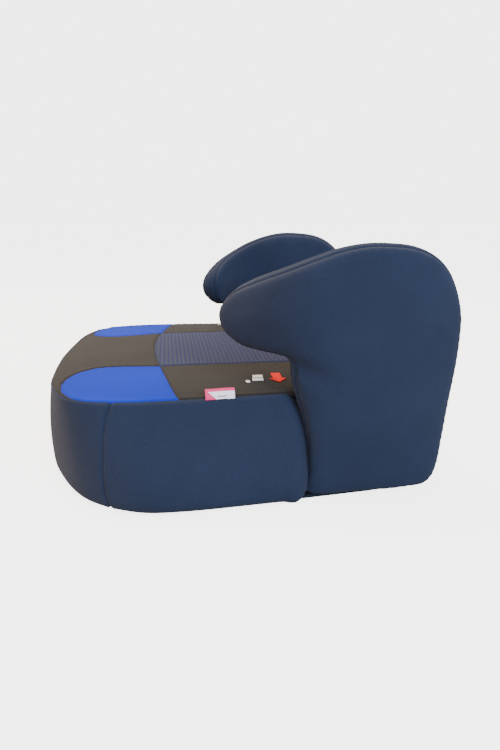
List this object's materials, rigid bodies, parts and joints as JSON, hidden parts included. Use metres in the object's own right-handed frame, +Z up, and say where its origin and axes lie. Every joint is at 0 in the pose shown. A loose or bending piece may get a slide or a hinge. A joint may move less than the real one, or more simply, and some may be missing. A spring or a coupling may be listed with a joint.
{
  "type": "booster seat",
  "caption": "Backless child booster seat with a padded fabric cover, hooked belt-guide armrests, a moulded tray and rubber feet.",
  "frame": {"origin": "centre of the bounding box, on the floor", "axes": "+Z up, -Y to the front of the seat, +X to the child's left; symmetric about X = 0"},
  "size_m": [0.4398, 0.4084, 0.2341],
  "materials": {
    "moulded_plastic": "satin moulded",
    "core_plastic": "satin moulded",
    "foam": "open-cell foam",
    "navy_fabric": "knitted",
    "brown_fabric": "knitted",
    "blue_fabric": "knitted",
    "ribbed_fabric": "ribbed knit",
    "hem_fabric": "knitted tape",
    "elastic": "woven elastic",
    "rubber": "matt",
    "steel": "zinc plated",
    "label_fabric": "woven satin",
    "red_print": "transfer print",
    "white_print": "transfer print"
  },
  "bodies": {
    "root": {"base_shell_wall": "moulded_plastic", "base_shell_deck": "moulded_plastic", "base_shell_bosses": "moulded_plastic", "rubber_feet": "rubber", "seat_foam": "foam", "armrest_core_outer_left": "core_plastic", "armrest_core_outer_right": "core_plastic", "armrest_core_inner_left": "core_plastic", "armrest_core_inner_right": "core_plastic", "armrest_core_screws_left": "steel", "armrest_core_screws_right": "steel", "armrest_mounting_bolts_left": "steel", "armrest_mounting_bolts_right": "steel", "armrest_foam_left": "foam", "armrest_foam_right": "foam", "cover_armrest_outer_left": "navy_fabric", "cover_armrest_outer_right": "navy_fabric", "cover_armrest_inner_left": "navy_fabric", "cover_armrest_inner_right": "navy_fabric", "cover_armrest_gusset_left": "navy_fabric", "cover_armrest_gusset_right": "navy_fabric", "cover_side_boxing_left": "navy_fabric", "cover_side_boxing_right": "navy_fabric", "cover_front_patch_left": "blue_fabric", "cover_front_patch_right": "blue_fabric", "cover_side_band_left": "brown_fabric", "cover_side_band_right": "brown_fabric", "belt_arrow_left": "red_print", "belt_arrow_right": "red_print", "belt_marks_left": "white_print", "belt_marks_right": "white_print", "cover_front_boxing": "navy_fabric", "cover_rear_boxing": "navy_fabric", "cover_ribbed_panel": "ribbed_fabric", "cover_top_front": "brown_fabric", "cover_hem": "hem_fabric", "hem_elastic": "elastic", "sewn_label": "label_fabric"}
  },
  "joints": []
}
